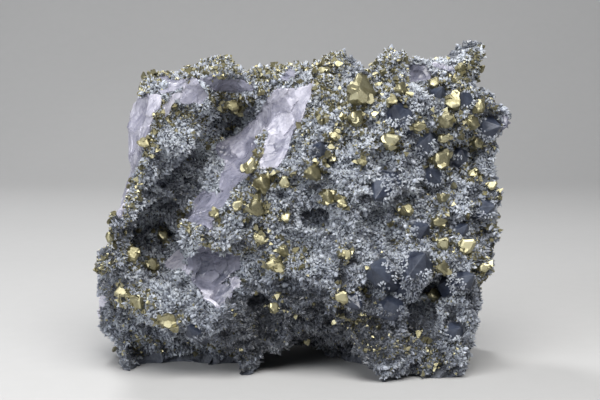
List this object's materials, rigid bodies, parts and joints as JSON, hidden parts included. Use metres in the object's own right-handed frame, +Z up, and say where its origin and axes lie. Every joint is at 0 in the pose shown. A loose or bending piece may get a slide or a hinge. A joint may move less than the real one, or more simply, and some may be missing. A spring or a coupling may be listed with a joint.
{
  "type": "quartz with chalcopyrite mineral specimen",
  "caption": "Blocky free-standing mineral specimen: a broken quartz mass crusted with small quartz crystals, with brassy chalcopyrite crystals seated in its pockets.",
  "frame": {"origin": "centre of the specimen's footprint box, on the plane it rests on", "axes": "+X along its longest side towards its right as seen from the display face, +Y away from the display face, +Z up"},
  "size_m": [0.121, 0.0716, 0.0938],
  "materials": {
    "quartz": "sugary druse of clear grey quartz points over milky, pale violet broken quartz; glassy gloss",
    "chalcopyrite": "pale brassy metallic crystal faces, finely striated, with a slightly dulled greenish tarnish"
  },
  "bodies": {
    "root": {"chalcopyrite_back_a": "chalcopyrite", "chalcopyrite_back_b": "chalcopyrite", "chalcopyrite_back_c": "chalcopyrite", "chalcopyrite_bright": "chalcopyrite", "chalcopyrite_centre_a": "chalcopyrite", "chalcopyrite_centre_b": "chalcopyrite", "chalcopyrite_centre_c": "chalcopyrite", "chalcopyrite_centre_d": "chalcopyrite", "chalcopyrite_centre_e": "chalcopyrite", "chalcopyrite_centre_f": "chalcopyrite", "chalcopyrite_crown": "chalcopyrite", "chalcopyrite_crown_foot": "chalcopyrite", "chalcopyrite_flat_bright": "chalcopyrite", "chalcopyrite_gilded_cap": "chalcopyrite", "chalcopyrite_left_bright": "chalcopyrite", "chalcopyrite_left_edge": "chalcopyrite", "chalcopyrite_left_large": "chalcopyrite", "chalcopyrite_left_ledge": "chalcopyrite", "chalcopyrite_left_low": "chalcopyrite", "chalcopyrite_left_mid": "chalcopyrite", "chalcopyrite_left_pair": "chalcopyrite", "chalcopyrite_left_side": "chalcopyrite", "chalcopyrite_low_a": "chalcopyrite", "chalcopyrite_low_b": "chalcopyrite", "chalcopyrite_low_c": "chalcopyrite", "chalcopyrite_lower_middle": "chalcopyrite", "chalcopyrite_lower_right_a": "chalcopyrite", "chalcopyrite_lower_right_b": "chalcopyrite", "chalcopyrite_lower_right_c": "chalcopyrite", "chalcopyrite_lower_right_d": "chalcopyrite", "chalcopyrite_lower_right_e": "chalcopyrite", "chalcopyrite_mid_speck": "chalcopyrite", "chalcopyrite_middle_right": "chalcopyrite", "chalcopyrite_right_a": "chalcopyrite", "chalcopyrite_right_b": "chalcopyrite", "chalcopyrite_right_back": "chalcopyrite", "chalcopyrite_right_c": "chalcopyrite", "chalcopyrite_right_d": "chalcopyrite", "chalcopyrite_right_e": "chalcopyrite", "chalcopyrite_right_f": "chalcopyrite", "chalcopyrite_right_g": "chalcopyrite", "chalcopyrite_right_side": "chalcopyrite", "chalcopyrite_rim_a": "chalcopyrite", "chalcopyrite_rim_b": "chalcopyrite", "chalcopyrite_rim_c": "chalcopyrite", "chalcopyrite_rim_d": "chalcopyrite", "chalcopyrite_shelf_a": "chalcopyrite", "chalcopyrite_slot_left": "chalcopyrite", "chalcopyrite_slot_right": "chalcopyrite", "chalcopyrite_strip_end": "chalcopyrite", "chalcopyrite_tall_a": "chalcopyrite", "chalcopyrite_tall_b": "chalcopyrite", "chalcopyrite_top_back": "chalcopyrite", "chalcopyrite_twin_low": "chalcopyrite", "chalcopyrite_twin_top": "chalcopyrite", "chalcopyrite_upper_middle": "chalcopyrite", "chalcopyrite_upper_right": "chalcopyrite", "chalcopyrite_valley_top": "chalcopyrite", "quartz_rock": "quartz"}
  },
  "joints": []
}
